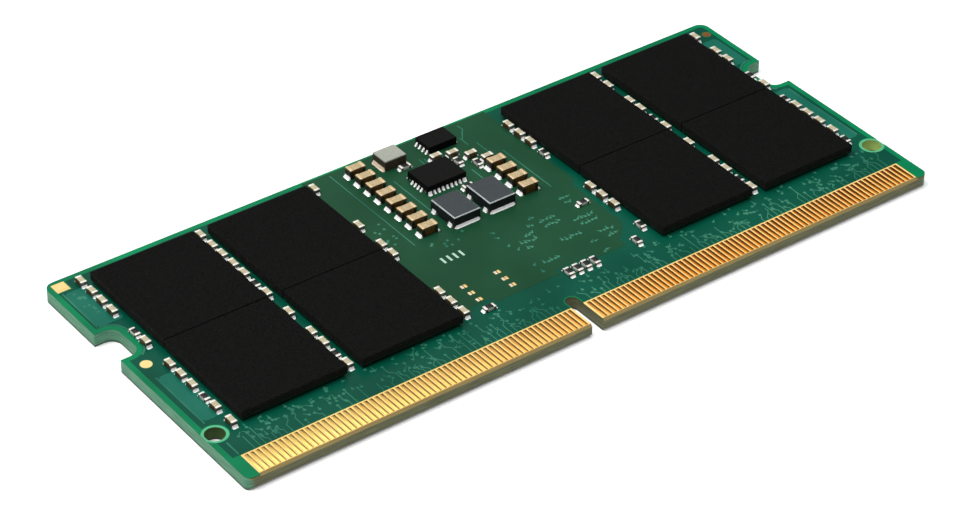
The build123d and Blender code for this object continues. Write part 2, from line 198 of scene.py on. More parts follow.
soft_lamp("key_lamp", (-0.2, 0.1, 0.46), (0, 0, 0), 0.24, 1.5)
soft_lamp("mirror_card", (0.1, 0.33, 0.34), (-0.033, -0.014, 0), 0.3, 0.2)


# %% [markdown]
# ## Shader groups
#
# Grain, mottling and scratches turn up on many of the finishes, so each is a node group
# that is built once and placed in every material with its own values.

# %% Group maker
def new_group(name, inputs, outputs):
    """An empty shader group with named float or colour sockets. Returns (group, in node, out node)."""
    group = bpy.data.node_groups.new(name, "ShaderNodeTree")
    for socket, kind, value in inputs:
        made = group.interface.new_socket(name=socket, in_out="INPUT", socket_type=kind)
        made.default_value = value
    for socket, kind in outputs:
        group.interface.new_socket(name=socket, in_out="OUTPUT", socket_type=kind)
    return group, group.nodes.new("NodeGroupInput"), group.nodes.new("NodeGroupOutput")


def math_node(tree, operation, first, second=None):
    """A math node whose inputs are links or numbers. Returns its output."""
    node = tree.nodes.new("ShaderNodeMath")
    node.operation = operation
    for socket, value in zip(node.inputs, (first, second)):
        if value is None:
            continue
        if isinstance(value, (int, float)):
            socket.default_value = value
        else:
            tree.links.new(value, socket)
    return node.outputs[0]


# %% Grain group
grain_group, grain_in, grain_out = new_group(
    "Grain",
    [("Scale", "NodeSocketFloat", 8000.0)],
    [("Height", "NodeSocketFloat"), ("Patches", "NodeSocketFloat")],
)
grain_place = grain_group.nodes.new("ShaderNodeTexCoord")
fine = grain_group.nodes.new("ShaderNodeTexNoise")
fine.inputs["Detail"].default_value = 3
fine.inputs["Roughness"].default_value = 0.7
grain_group.links.new(grain_place.outputs["Object"], fine.inputs["Vector"])
grain_group.links.new(grain_in.outputs["Scale"], fine.inputs["Scale"])
grain_group.links.new(fine.outputs["Fac"], grain_out.inputs["Height"])
coarse = grain_group.nodes.new("ShaderNodeTexNoise")
coarse.inputs["Detail"].default_value = 2
coarse_scale = math_node(grain_group, "MULTIPLY", grain_in.outputs["Scale"], 0.06)
grain_group.links.new(grain_place.outputs["Object"], coarse.inputs["Vector"])
grain_group.links.new(coarse_scale, coarse.inputs["Scale"])
grain_group.links.new(coarse.outputs["Fac"], grain_out.inputs["Patches"])
print("group", grain_group.name)

# %% Scratches group
scratch_group, scratch_in, scratch_out = new_group(
    "Fine scratches",
    [("Scale", "NodeSocketFloat", 900.0), ("Stretch", "NodeSocketFloat", 12.0)],
    [("Mask", "NodeSocketFloat")],
)
scratch_place = scratch_group.nodes.new("ShaderNodeTexCoord")
split_place = scratch_group.nodes.new("ShaderNodeSeparateXYZ")
join_place = scratch_group.nodes.new("ShaderNodeCombineXYZ")
scratch_group.links.new(scratch_place.outputs["Object"], split_place.inputs[0])
scratch_group.links.new(
    math_node(scratch_group, "MULTIPLY", split_place.outputs["X"], scratch_in.outputs["Stretch"]),
    join_place.inputs["X"],
)
scratch_group.links.new(split_place.outputs["Y"], join_place.inputs["Y"])
scratch_group.links.new(split_place.outputs["Z"], join_place.inputs["Z"])
lines = scratch_group.nodes.new("ShaderNodeTexNoise")
lines.inputs["Detail"].default_value = 4
scratch_group.links.new(join_place.outputs[0], lines.inputs["Vector"])
scratch_group.links.new(scratch_in.outputs["Scale"], lines.inputs["Scale"])
scratch_group.links.new(lines.outputs["Fac"], scratch_out.inputs["Mask"])
print("group", scratch_group.name)

# %% Facing group
facing_group, facing_in, facing_out = new_group(
    "Facing up",
    [("From", "NodeSocketFloat", 0.3), ("To", "NodeSocketFloat", 0.9)],
    [("Mask", "NodeSocketFloat")],
)
surface_normal = facing_group.nodes.new("ShaderNodeNewGeometry")
split_normal = facing_group.nodes.new("ShaderNodeSeparateXYZ")
facing_group.links.new(surface_normal.outputs["Normal"], split_normal.inputs[0])
facing_ramp = facing_group.nodes.new("ShaderNodeMapRange")
facing_group.links.new(split_normal.outputs["Z"], facing_ramp.inputs["Value"])
facing_group.links.new(facing_in.outputs["From"], facing_ramp.inputs["From Min"])
facing_group.links.new(facing_in.outputs["To"], facing_ramp.inputs["From Max"])
facing_group.links.new(facing_ramp.outputs["Result"], facing_out.inputs["Mask"])
print("group", facing_group.name)


# %% Material helpers
def new_material(name, roughness, metallic=0.0, specular=0.5):
    """A Principled material. Returns (material, node tree, shader)."""
    material = bpy.data.materials.new(name)
    material.use_nodes = True
    shader = material.node_tree.nodes["Principled BSDF"]
    shader.inputs["Roughness"].default_value = roughness
    shader.inputs["Metallic"].default_value = metallic
    shader.inputs["Specular IOR Level"].default_value = specular
    return material, material.node_tree, shader


def place_group(tree, group, **values):
    """A group node with its inputs set by name."""
    node = tree.nodes.new("ShaderNodeGroup")
    node.node_tree = group
    for socket, value in values.items():
        node.inputs[socket].default_value = value
    return node


def blend_colours(tree, mask, low, high):
    """A colour between low and high by mask. Each may be a colour or a link."""
    mix = tree.nodes.new("ShaderNodeMix")
    mix.data_type = "RGBA"
    tree.links.new(mask, mix.inputs["Factor"])
    for socket, value in ((mix.inputs["A"], low), (mix.inputs["B"], high)):
        if isinstance(value, tuple):
            socket.default_value = value
        else:
            tree.links.new(value, socket)
    return mix.outputs["Result"]


def place_axes(tree):
    """The object's own coordinates. Returns (whole output, node split into X, Y and Z)."""
    place = tree.nodes.new("ShaderNodeTexCoord")
    split = tree.nodes.new("ShaderNodeSeparateXYZ")
    tree.links.new(place.outputs["Object"], split.inputs[0])
    return place.outputs["Object"], split


def stretch_mask(tree, value, low, high):
    """The value spread from 0 at low to 1 at high."""
    node = tree.nodes.new("ShaderNodeMapRange")
    tree.links.new(value, node.inputs["Value"])
    node.inputs["From Min"].default_value = low
    node.inputs["From Max"].default_value = high
    return node.outputs["Result"]


def bump(tree, shader, height, distance, strength=1.0):
    """Feeds a height through a bump node, in metres, into the shader's normal."""
    node = tree.nodes.new("ShaderNodeBump")
    node.inputs["Distance"].default_value = distance
    node.inputs["Strength"].default_value = strength
    tree.links.new(height, node.inputs["Height"])
    tree.links.new(node.outputs["Normal"], shader.inputs["Normal"])


def grained(name, dark, light, roughness, scale, depth, **finish):
    """A material of two close colours with fine grain: moulded, fired or plated surfaces."""
    material, tree, shader = new_material(name, roughness, **finish)
    grain = place_group(tree, grain_group, Scale=scale)
    mask = stretch_mask(tree, grain.outputs["Height"], 0.3, 0.7)
    tree.links.new(blend_colours(tree, mask, dark, light), shader.inputs["Base Color"])
    rough_low, rough_high = roughness * 0.85, min(1, roughness * 1.15)
    spread = tree.nodes.new("ShaderNodeMapRange")
    tree.links.new(grain.outputs["Patches"], spread.inputs["Value"])
    spread.inputs["To Min"].default_value = rough_low
    spread.inputs["To Max"].default_value = rough_high
    tree.links.new(spread.outputs["Result"], shader.inputs["Roughness"])
    bump(tree, shader, grain.outputs["Height"], depth)
    return material


# %% [markdown]
# ## Finishes
#
# Green mask looks different over copper, over bare laminate and along a sawn edge where
# light comes through, so it has one material for each. Metals are tin, gold and copper.
# Moulded and fired bodies are two close colours with a fine grain.

# %% Mask materials
def mask_material(name, dark, light, roughness=0.32):
    """Semi-gloss green lacquer with slight pooling."""
    material, tree, shader = new_material(name, roughness, specular=0.1)
    grain = place_group(tree, grain_group, Scale=2600.0)
    pooled = stretch_mask(tree, grain.outputs["Patches"], 0.35, 0.65)
    tree.links.new(blend_colours(tree, pooled, dark, light), shader.inputs["Base Color"])
    bump(tree, shader, grain.outputs["Height"], 0.000004, strength=0.3)
    return material


mask_bare = mask_material("mask over laminate", srgb(0, 66, 50), srgb(4, 78, 60))
mask_edge = mask_material("mask at the sawn edge", srgb(0, 104, 66), srgb(0, 128, 80))
mask_copper = mask_material("mask over copper", srgb(20, 63, 40), srgb(26, 71, 47))
mask_margin = mask_material("mask over margin copper", srgb(18, 92, 76), srgb(26, 102, 84))
mask_track = mask_material("mask over tracks", srgb(22, 92, 72), srgb(62, 126, 102), roughness=0.28)
mask_under = mask_material("mask on the underside", srgb(26, 92, 62), srgb(34, 104, 72))
print("six mask materials")

# %% [markdown]
# Contacts are copper under nickel and thin gold. A plain metal would give one flat colour
# along the strip, so a painted reflection shifts it from pale to deep, and scratches vary the roughness.

# %% Gold: a painted reflection, yellower at the left end of the board, deeper towards the right
def gold_material():
    """Thin gold over nickel, painted paler at the left end of the board and deeper at the right: a painted
    reflection.
    """
    material, tree, shader = new_material("gold plating", 0.2, metallic=1.0)
    grain = place_group(tree, grain_group, Scale=9000.0)
    _, split = place_axes(tree)
    along = stretch_mask(tree, split.outputs["X"], -0.8 * side_edge, 0.2 * side_edge)
    mottle = stretch_mask(tree, grain.outputs["Patches"], 0.3, 0.7)
    # Painted reflection: pale gold at the left end, deep gold towards the right.
    pale = blend_colours(tree, mottle, srgb(250, 208, 112), srgb(255, 218, 128))
    deep = blend_colours(tree, mottle, srgb(196, 116, 30), srgb(212, 132, 42))
    tree.links.new(blend_colours(tree, along, pale, deep), shader.inputs["Base Color"])
    scratches = place_group(tree, scratch_group, Scale=2500.0, Stretch=9.0)
    rough = tree.nodes.new("ShaderNodeMapRange")
    tree.links.new(scratches.outputs["Mask"], rough.inputs["Value"])
    rough.inputs["To Min"].default_value = 0.14
    rough.inputs["To Max"].default_value = 0.28
    tree.links.new(rough.outputs["Result"], shader.inputs["Roughness"])
    bump(tree, shader, grain.outputs["Height"], 0.000002)
    return material


# %% Gold of the bare marks: a matte bath finish, with a painted reflection that darkens it towards the right end
def mark_material():
    """Matte gold of the corner pad and the round marks, painted paler at the left and darker at the right as
    a painted reflection.
    """
    material, tree, shader = new_material("matte gold marks", 0.38, metallic=0.45)
    grain = place_group(tree, grain_group, Scale=7000.0)
    _, split = place_axes(tree)
    mottle = stretch_mask(tree, grain.outputs["Patches"], 0.3, 0.7)
    # Painted reflection: pale gold towards the left, dark brown gold towards the right.
    bright_reflection = blend_colours(tree, mottle, srgb(236, 192, 118), srgb(252, 220, 150))
    dark_reflection = blend_colours(tree, mottle, srgb(104, 62, 18), srgb(132, 84, 30))
    along = stretch_mask(tree, split.outputs["X"], 0, 0.5 * side_edge)
    tree.links.new(blend_colours(tree, along, bright_reflection, dark_reflection), shader.inputs["Base Color"])
    bump(tree, shader, grain.outputs["Height"], 0.000003)
    return material


mark_gold = mark_material()


# %% [markdown]
# Solder could be a mirror, but real joints are slightly crystalline and scatter, so it is
# near white with little metallic. Leads and wire are nearly full metals with a fine grain.

# %% Metal materials
gold = gold_material()
solder = grained(
    "bright solder", srgb(246, 247, 246), srgb(255, 255, 253), 0.3, 6000.0, 0.000004, metallic=0.1
)
warm_solder = grained(
    "warm solder", srgb(206, 184, 158), srgb(234, 216, 192), 0.4, 6000.0, 0.000004, metallic=0.2
)
lead_frame = grained(
    "tinned leads", srgb(190, 190, 190), srgb(225, 225, 222), 0.35, 9000.0, 0.000003, metallic=0.9
)
copper_wire = grained(
    "enamelled copper", srgb(170, 88, 48), srgb(196, 104, 60), 0.35, 6000.0, 0.000003, metallic=1.0
)
silver_cover = grained(
    "dull silver plating", srgb(148, 151, 140), srgb(170, 172, 160), 0.5, 7000.0, 0.000004, metallic=0.3
)
print("six metals")


# %% Metal ends: bright on top, with a painted reflection that darkens the walls, which face the dark lower room
def end_material(name, top_low, top_high, wall):
    """Tinned ends of capacitors, resistors and inductors. The walls are painted darker than the top, a
    painted reflection of the dark lower room.
    """
    material, tree, shader = new_material(name, 0.36, metallic=0.35)
    grain = place_group(tree, grain_group, Scale=9000.0)
    facing = place_group(tree, facing_group, From=0.05, To=0.6)
    patches = stretch_mask(tree, grain.outputs["Height"], 0.35, 0.65)
    top = blend_colours(tree, patches, top_low, top_high)
    # Painted reflection: the walls take the dark colour, the tops the bright one.
    tree.links.new(blend_colours(tree, facing.outputs["Mask"], wall, top), shader.inputs["Base Color"])
    bump(tree, shader, grain.outputs["Height"], 0.000003)
    return material


end_metal = end_material("tinned end metal", srgb(214, 210, 196), srgb(246, 243, 232), srgb(96, 92, 80))
# The warm tan of these ends is a painted tint of the light; the fired silver itself is near white.
warm_end = end_material("fired silver end", srgb(196, 168, 122), srgb(230, 206, 164), srgb(50, 42, 32))
print("two end metals")

# %% [markdown]
# Chips are epoxy filled with silica, capacitors fired ceramic, inductors pressed powder.
# All have a fine grain. A box with one colour looks flat here, so the surface normal picks
# a painted shade: chip sides painted lighter and capacitor sides darker than their tops.

# %% Moulded and fired materials
mould_glossy = grained(
    "small chip moulding", srgb(7, 7, 7), srgb(17, 17, 16), 0.55, 9000.0, 0.000004, specular=0.08
)
substrate = grained(
    "package substrate", srgb(14, 26, 20), srgb(24, 40, 30), 0.5, 6000.0, 0.000003, specular=0.2
)
silicon = grained("silicon", srgb(70, 74, 82), srgb(84, 88, 96), 0.2, 9000.0, 0.000001, metallic=0.5)
ferrite = grained("ferrite", srgb(52, 44, 34), srgb(70, 60, 46), 0.6, 8000.0, 0.000008, specular=0.2)
alumina = grained("alumina", srgb(196, 194, 188), srgb(226, 224, 218), 0.55, 8000.0, 0.000004)
resistor_film = grained(
    "resistor coat", srgb(20, 18, 20), srgb(34, 32, 36), 0.35, 8000.0, 0.000003, specular=0.3
)
ink = grained(
    "marking ink", srgb(150, 186, 166), srgb(176, 206, 188), 0.6, 8000.0, 0.000004, specular=0.2
)
print("seven moulded, fired and printed finishes")


# %% Bodies with painted light and shade: sides another shade than the top
def painted_side_light_material(name, top_low, top_high, side_low, side_high, roughness=0.48, specular=0.2):
    """A grained body whose sides are painted another shade than its top, as painted light and shade."""
    material, tree, shader = new_material(name, roughness, specular=specular)
    grain = place_group(tree, grain_group, Scale=7000.0)
    facing = place_group(tree, facing_group, From=0.2, To=0.85)
    patches = stretch_mask(tree, grain.outputs["Height"], 0.35, 0.65)
    top = blend_colours(tree, patches, top_low, top_high)
    side = blend_colours(tree, patches, side_low, side_high)
    tree.links.new(blend_colours(tree, facing.outputs["Mask"], side, top), shader.inputs["Base Color"])
    bump(tree, shader, grain.outputs["Height"], 0.000004)
    return material


# Chip sides painted lighter than the top: painted light on walls that get little light.
mould = painted_side_light_material(
    "chip moulding", srgb(0, 0, 0), srgb(17, 17, 16), srgb(20, 20, 19), srgb(38, 37, 36), 0.66, 0.06
)
# Capacitor sides, here and below, are painted darker than the tops: painted shade.
tan_ceramic = painted_side_light_material(
    "tan capacitor ceramic", srgb(162, 141, 103), srgb(190, 171, 136), srgb(78, 54, 24), srgb(110, 82, 38)
)
pale_ceramic = painted_side_light_material(
    "pale capacitor ceramic", srgb(164, 155, 126), srgb(186, 177, 152), srgb(66, 50, 30), srgb(92, 70, 42)
)


# %% Slate of the power inductors: a painted highlight on the chamfered edges and painted shade on the sides
def slate_material():
    """Moulded iron powder, dark slate, with painted highlights on the chamfers and painted shade on the
    sides.
    """
    material, tree, shader = new_material("moulded iron powder", 0.55, specular=0.3)
    grain = place_group(tree, grain_group, Scale=9000.0)
    speckle = stretch_mask(tree, grain.outputs["Height"], 0.35, 0.75)
    flat = blend_colours(tree, speckle, srgb(46, 52, 55), srgb(60, 67, 70))
    # Painted shade: the sides are painted darker than the flat top.
    side = blend_colours(tree, speckle, srgb(20, 24, 27), srgb(32, 37, 40))
    # Painted highlight: the chamfered edges are painted pale.
    chamfer_highlight = blend_colours(tree, speckle, srgb(150, 158, 160), srgb(206, 212, 212))
    above = place_group(tree, facing_group, From=0.9, To=0.99)
    below = place_group(tree, facing_group, From=0.3, To=0.5)
    edge_or_side = blend_colours(tree, below.outputs["Mask"], side, chamfer_highlight)
    colour = blend_colours(tree, above.outputs["Mask"], edge_or_side, flat)
    tree.links.new(colour, shader.inputs["Base Color"])
    bump(tree, shader, grain.outputs["Height"], 0.00001)
    return material


slate = slate_material()


# %% [markdown]
# The core is glass cloth in resin, sawn at its outline. Plates could make the plies, but
# they are very thin, so stretched noise draws them. Position decides the tint: olive by the
# contacts, green at the ends and in the holes. The hole walls carry painted shade and painted
# light: darker in the left hole, paler in the right.

# %% Laminate: pale glass and resin, layered on its sawn sides
def laminate_material():
    """Glass-epoxy board: plies show as faint lines on the sawn walls, darker towards the foot."""
    material, tree, shader = new_material("laminate", 0.6, specular=0.25)
    place, split = place_axes(tree)
    grain = place_group(tree, grain_group, Scale=5000.0)
    fibre = tree.nodes.new("ShaderNodeTexNoise")
    stretched = tree.nodes.new("ShaderNodeMapping")
    stretched.inputs["Scale"].default_value = (0.35, 0.35, 6.0)
    tree.links.new(place, stretched.inputs["Vector"])
    tree.links.new(stretched.outputs["Vector"], fibre.inputs["Vector"])
    fibre.inputs["Scale"].default_value = 1800.0
    fibre.inputs["Detail"].default_value = 3
    plies = stretch_mask(tree, fibre.outputs["Fac"], 0.3, 0.7)
    wall = blend_colours(tree, plies, srgb(66, 124, 96), srgb(104, 156, 126))
    olive = blend_colours(tree, plies, srgb(84, 87, 62), srgb(114, 116, 84))
    near_contacts = stretch_mask(tree, split.outputs["Y"], contact_edge + 5.2 * MM, contact_edge + 4.2 * MM)
    corners = stretch_mask(tree, math_node(tree, "ABSOLUTE", split.outputs["X"]), 34.1 * MM, 34.5 * MM)
    olive = blend_colours(tree, corners, olive, wall)
    sides = blend_colours(tree, near_contacts, wall, olive)
    in_hole = tree.nodes.new("ShaderNodeVectorMath")
    in_hole.operation = "DISTANCE"
    folded = tree.nodes.new("ShaderNodeCombineXYZ")
    tree.links.new(math_node(tree, "ABSOLUTE", split.outputs["X"]), folded.inputs["X"])
    tree.links.new(split.outputs["Y"], folded.inputs["Y"])
    tree.links.new(folded.outputs[0], in_hole.inputs[0])
    in_hole.inputs[1].default_value = (hole_x, hole_y, 0)
    hole_wall = stretch_mask(tree, in_hole.outputs["Value"], 0.94 * MM, 0.9 * MM)
    # Painted shade and light: the wall of the left hole is painted dark green, the right one pale.
    end_of_board = stretch_mask(tree, split.outputs["X"], -1.0 * MM, 1.0 * MM)
    hole_shade_and_light = blend_colours(tree, end_of_board, srgb(62, 88, 38), srgb(160, 186, 104))
    sides = blend_colours(tree, hole_wall, sides, hole_shade_and_light)
    foot = stretch_mask(tree, split.outputs["Z"], 0.25 * MM, 0.02 * MM)
    sides = blend_colours(tree, foot, sides, srgb(52, 54, 44))
    facing = place_group(tree, facing_group, From=0.5, To=0.9)
    cream = blend_colours(tree, grain.outputs["Patches"], srgb(228, 186, 110), srgb(250, 214, 138))
    green = blend_colours(tree, grain.outputs["Patches"], srgb(56, 150, 104), srgb(92, 180, 134))
    strip = stretch_mask(tree, split.outputs["Y"], contact_edge + 4.2 * MM, contact_edge + 3.4 * MM)
    bare = blend_colours(tree, strip, green, cream)
    edge_line = stretch_mask(tree, split.outputs["Y"], contact_edge + 0.26 * MM, contact_edge + 0.18 * MM)
    bare = blend_colours(tree, edge_line, bare, srgb(168, 138, 78))
    tree.links.new(blend_colours(tree, facing.outputs["Mask"], sides, bare), shader.inputs["Base Color"])
    bump(tree, shader, fibre.outputs["Fac"], 0.00001)
    return material


laminate = laminate_material()


# %% [markdown]
# ## Finishes on the CAD nodes that stay
#
# These nodes already have the right shape, so each only gets its material.

# %% Assign materials
def finish_node(node, material):
    """Gives a CAD node one material."""
    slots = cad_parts[node].data.materials
    slots.clear()
    slots.append(material)


kept_finishes = {
    "board_laminate": laminate,
    "back_solder_mask": mask_under,
    "back_contacts": gold,
    "gold_marks": mark_gold,
    "memory_chip_substrates": substrate,
    "memory_dies": silicon,
    "memory_solder_balls": solder,
    "power_chip_body": mould_glossy,
    "power_chip_die": silicon,
    "power_chip_thermal_pad": lead_frame,
    "power_chip_leads": lead_frame,
    "hub_chip_body": mould_glossy,
    "hub_chip_die": silicon,
    "hub_chip_thermal_pad": lead_frame,
    "hub_chip_leads": lead_frame,
    "power_inductor_left": slate,
    "power_inductor_right": slate,
    "power_inductor_coils": copper_wire,
    "power_inductor_terminals": end_metal,
    "plated_inductor_core": ferrite,
    "plated_inductor_terminals": ferrite,
    "plated_inductor_cover": silver_cover,
}
for number in range(1, 9):
    kept_finishes[f"memory_chip_{number}"] = mould
for node, material in kept_finishes.items():
    finish_node(node, material)
print(f"{len(kept_finishes)} CAD nodes finished as they stand")


# %% [markdown]
# ## Making many small pieces
#
# A capacitor bank or a row of solder joints is one shape repeated. Each shape is modelled
# once with bmesh and then stamped at every place into one mesh, with small random turns
# so that the row looks placed by a machine and soldered by an oven, not copied.

# %% Stamping helpers
def box_shape(size, radius, segments=2):
    """A box with rounded edges, standing on z = 0 and centred in x and y. Returns (points, faces)."""
    shape = bmesh.new()
    bmesh.ops.create_cube(shape, size=1)
    for vertex in shape.verts:
        vertex.co = Vector((vertex.co.x * size[0], vertex.co.y * size[1], (vertex.co.z + 0.5) * size[2]))
    bmesh.ops.bevel(shape, geom=shape.edges[:], offset=radius, segments=segments, profile=0.5, affect="EDGES")
    return shape_data(shape)


def shape_data(shape):
    """Points and faces of a bmesh, which is then freed."""
    shape.verts.ensure_lookup_table()
    shape.verts.index_update()
    bmesh.ops.recalc_face_normals(shape, faces=shape.faces[:])
    points = [vertex.co.copy() for vertex in shape.verts]
    faces = [tuple(vertex.index for vertex in face.verts) for face in shape.faces]
    shape.free()
    return points, faces


def fillet_shape(spread, rise, width, steps=6):
    """A concave run of solder: rise high at x = 0, thin at x = spread."""
    shape = bmesh.new()
    rows = []
    for step in range(steps + 1):
        share = step / steps
        height = rise * (1 - share) ** 1.8
        half = width / 2 * (1 - 0.22 * share ** 2)
        low = [shape.verts.new((spread * share, side * half, 0)) for side in (-1, 1)]
        if step == steps:
            rows.append((low[0], low[1], low[1], low[0]))
            continue
        top = [shape.verts.new((spread * share, side * half * 0.86, height)) for side in (1, -1)]
        rows.append((low[0], low[1], top[0], top[1]))
    for near, far in zip(rows, rows[1:]):
        for a, b in ((0, 1), (1, 2), (2, 3), (3, 0)):
            corners = []
            for vertex in (near[a], near[b], far[b], far[a]):
                if vertex not in corners:
                    corners.append(vertex)
            if len(corners) > 2:
                shape.faces.new(corners)
    shape.faces.new(rows[0])
    return shape_data(shape)


def add_piece(mesh, material, sharp_from, replaces=()):
    """Shows a mesh on the board as a piece of its name, with edges past an angle kept sharp."""
    mesh.materials.append(material)
    piece = bpy.data.objects.new(mesh.name, mesh)
    bpy.context.scene.collection.objects.link(piece)
    mesh.set_sharp_from_angle(angle=math.radians(sharp_from))
    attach(piece, "root")
    if replaces:
        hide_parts(*replaces)
    print(f"{mesh.name}: {len(mesh.polygons)} faces")


def stamp(name, shapes_at, material, replaces=()):
    """One piece made of (shape, matrix) pairs. It rides on the board."""
    points, faces = [], []
    for (shape_points, shape_faces), matrix in shapes_at:
        start = len(points)
        points.extend(matrix @ point for point in shape_points)
        faces.extend(tuple(start + index for index in face) for face in shape_faces)
    mesh = bpy.data.meshes.new(name)
    mesh.from_pydata(points, [], faces)
    for polygon in mesh.polygons:
        polygon.use_smooth = True
    add_piece(mesh, material, 40, replaces)


def at(x, y, z, turn=0.0):
    """Matrix of a place in metres, turned about Z, in degrees."""
    return Matrix.Translation((x, y, z)) @ Matrix.Rotation(math.radians(turn), 4, "Z")


# %% [markdown]
# ## Contact fingers
#
# Each finger is a plated copper bar. The plating rounds its edges over, and those round
# edges are what catches the light between the fingers.

# %% Front contacts
finger_low, finger_high = finger_boxes[0]
finger_size = finger_high - finger_low
finger = box_shape(finger_size, 0.012 * MM, segments=2)
stamp(
    "plated_contact_fingers",
    [(finger, at((low.x + high.x) / 2, (low.y + high.y) / 2, low.z)) for low, high in finger_boxes],
    gold,
    replaces=("front_contacts",),
)


# %% [markdown]
# ## Capacitors and resistors
#
# A part of this kind is a fired block dipped in metal at both ends, standing in two
# concave runs of solder. Its places come from the CAD bodies, its turn from their long
# side.

# %% End-capped parts
def end_capped(name, length, width, height, cap, body_material, cap_material, coat_material=None):
    """Bodies, end caps and solder for all parts of one size."""
    body_height = 0.94 * height
    corner = 0.09 * min(width, height)
    body = box_shape(Vector((length - 1.2 * cap, 0.93 * width, body_height)), corner * 0.6)
    end_cap = box_shape(Vector((cap, width, height)), corner, segments=3)
    fillet = fillet_shape(min(0.34 * MM, 0.42 * width), min(0.24 * MM, 0.5 * height), width * 0.98)
    bodies, caps, joints = [], [], []
    for low, high in solids_of(f"{name}_bodies"):
        size = high - low
        centre = (low + high) / 2
        turn = (0 if size.x > size.y else 90) + random.uniform(-1.5, 1.5)
        bodies.append((body, at(centre.x, centre.y, mask_top + 0.02 * MM, turn)))
        for side in (0, 180):
            stand = at(centre.x, centre.y, mask_top, turn + side)
            reach = Matrix.Translation(((length - cap) / 2, 0, 0))
            caps.append((end_cap, stand @ reach))
            joints.append((fillet, stand @ Matrix.Translation((length / 2 - 0.01 * MM, 0, 0))))
    replaced = [f"{name}_bodies"] + ([f"{name}_coats"] if coat_material else [])
    stamp(f"{name}_blocks", bodies, body_material, replaces=replaced)
    if coat_material:
        coat = box_shape(Vector((length - 2 * cap, 0.9 * width, 0.06 * MM)), 0.015 * MM)
        tops = [
            (coat, matrix @ Matrix.Translation((0, 0, body_height - 0.045 * MM)))
            for _, matrix in bodies
        ]
        stamp(f"{name}_film", tops, coat_material)
    stamp(f"{name}_metal_ends", caps, cap_material, replaces=(f"{name}_end_caps",))
    stamp(f"{name}_joints", joints, solder, replaces=(f"{name}_solder",))


end_capped("large_capacitor", 1.6 * MM, 0.88 * MM, 0.92 * MM, 0.33 * MM, tan_ceramic, warm_end)
end_capped("small_capacitor", 1.05 * MM, 0.56 * MM, 0.55 * MM, 0.24 * MM, pale_ceramic, end_metal)
end_capped("resistor", 1.05 * MM, 0.54 * MM, 0.33 * MM, 0.22 * MM, alumina, end_metal, resistor_film)

# %% [markdown]
# ## Solder of the chips and inductors
#
# The leads end flush with the package sides, and solder climbs them in small steps. The
# inductors stand on broad terminals with a bright run of solder in front.


# %% Lead joints
def lead_joints(name, lead_node, body_node, spread, rise):
    """A solder run outside the package at every lead."""
    body_low, body_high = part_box(body_node)
    joints = []
    for low, high in solids_of(lead_node):
        centre = (low + high) / 2
        along_x = high.x - low.x > high.y - low.y
        width = (high.y - low.y) if along_x else (high.x - low.x)
        joint = fillet_shape(spread, rise, width)
        if along_x:
            side = 1 if centre.x > (body_low.x + body_high.x) / 2 else -1
            edge = (body_high.x if side > 0 else body_low.x), centre.y
            turn = 0 if side > 0 else 180
        else:
            side = 1 if centre.y > (body_low.y + body_high.y) / 2 else -1
            edge = centre.x, (body_high.y if side > 0 else body_low.y)
            turn = 90 * side
        joints.append((joint, at(*edge, mask_top, turn)))
    stamp(f"{name}_lead_joints", joints, solder, replaces=(f"{name}_solder",))


lead_joints("power_chip", "power_chip_leads", "power_chip_body", 0.3 * MM, 0.3 * MM)
lead_joints("hub_chip", "hub_chip_leads", "hub_chip_body", 0.3 * MM, 0.34 * MM)

# %% Inductor joints
inductor_joints = []
for node in ("power_inductor_left", "power_inductor_right"):
    low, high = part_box(node)
    middle = (low + high) / 2
    width, depth = high.x - low.x, high.y - low.y
    front_run = fillet_shape(0.24 * MM, 0.24 * MM, width)
    side_run = fillet_shape(0.24 * MM, 0.34 * MM, 0.55 * MM)
    inductor_joints.append((front_run, at(middle.x, low.y, mask_top, -90)))
    inductor_joints.append((front_run, at(middle.x, high.y, mask_top, 90)))
    for slide in (-0.34, 0.34):
        inductor_joints.append((side_run, at(low.x, middle.y + slide * depth, mask_top, 180)))
        inductor_joints.append((side_run, at(high.x, middle.y + slide * depth, mask_top, 0)))
stamp("power_inductor_joints", inductor_joints, solder, replaces=("power_inductor_solder",))


# %% Feet of the plated inductor
low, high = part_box("plated_inductor_cover")
foot = fillet_shape(0.3 * MM, 0.3 * MM, high.y - low.y)
middle_y = (low.y + high.y) / 2
feet = [(foot, at(low.x, middle_y, mask_top, 180)), (foot, at(high.x, middle_y, mask_top))]
stamp("plated_inductor_feet", feet, warm_solder, replaces=("plated_inductor_solder",))


# %% [markdown]
# ## Green mask and what lies under it
#
# The mask is a lacquer over copper. Where a copper area, a track or a via lies under it,
# it stands a little proud and looks lighter. So the mask is a base plate with thin raised
# plates over the copper areas, ribbons over the tracks, and small domes over the vias.

# %% Outline of the board, drawn in by any distance
mark_boxes = solids_of("gold_marks")
corner_pad = mark_boxes[0]
pad_margin = 0.12 * MM
notch_low = contact_edge + 18 * MM
notch_high = contact_edge + 22 * MM
notch_depth = 1.9 * MM
notch_radius = 1.0 * MM
key_middle = -1.25 * MM
key_half = 0.6 * MM
key_top = contact_edge + 4.0 * MM


def arc(centre_x, centre_y, radius, start, end, steps=8):
    """Points along an arc, angles in degrees."""
    return [
        (
            centre_x + radius * math.cos(math.radians(start + (end - start) * step / steps)),
            centre_y + radius * math.sin(math.radians(start + (end - start) * step / steps)),
        )
        for step in range(steps + 1)
    ]


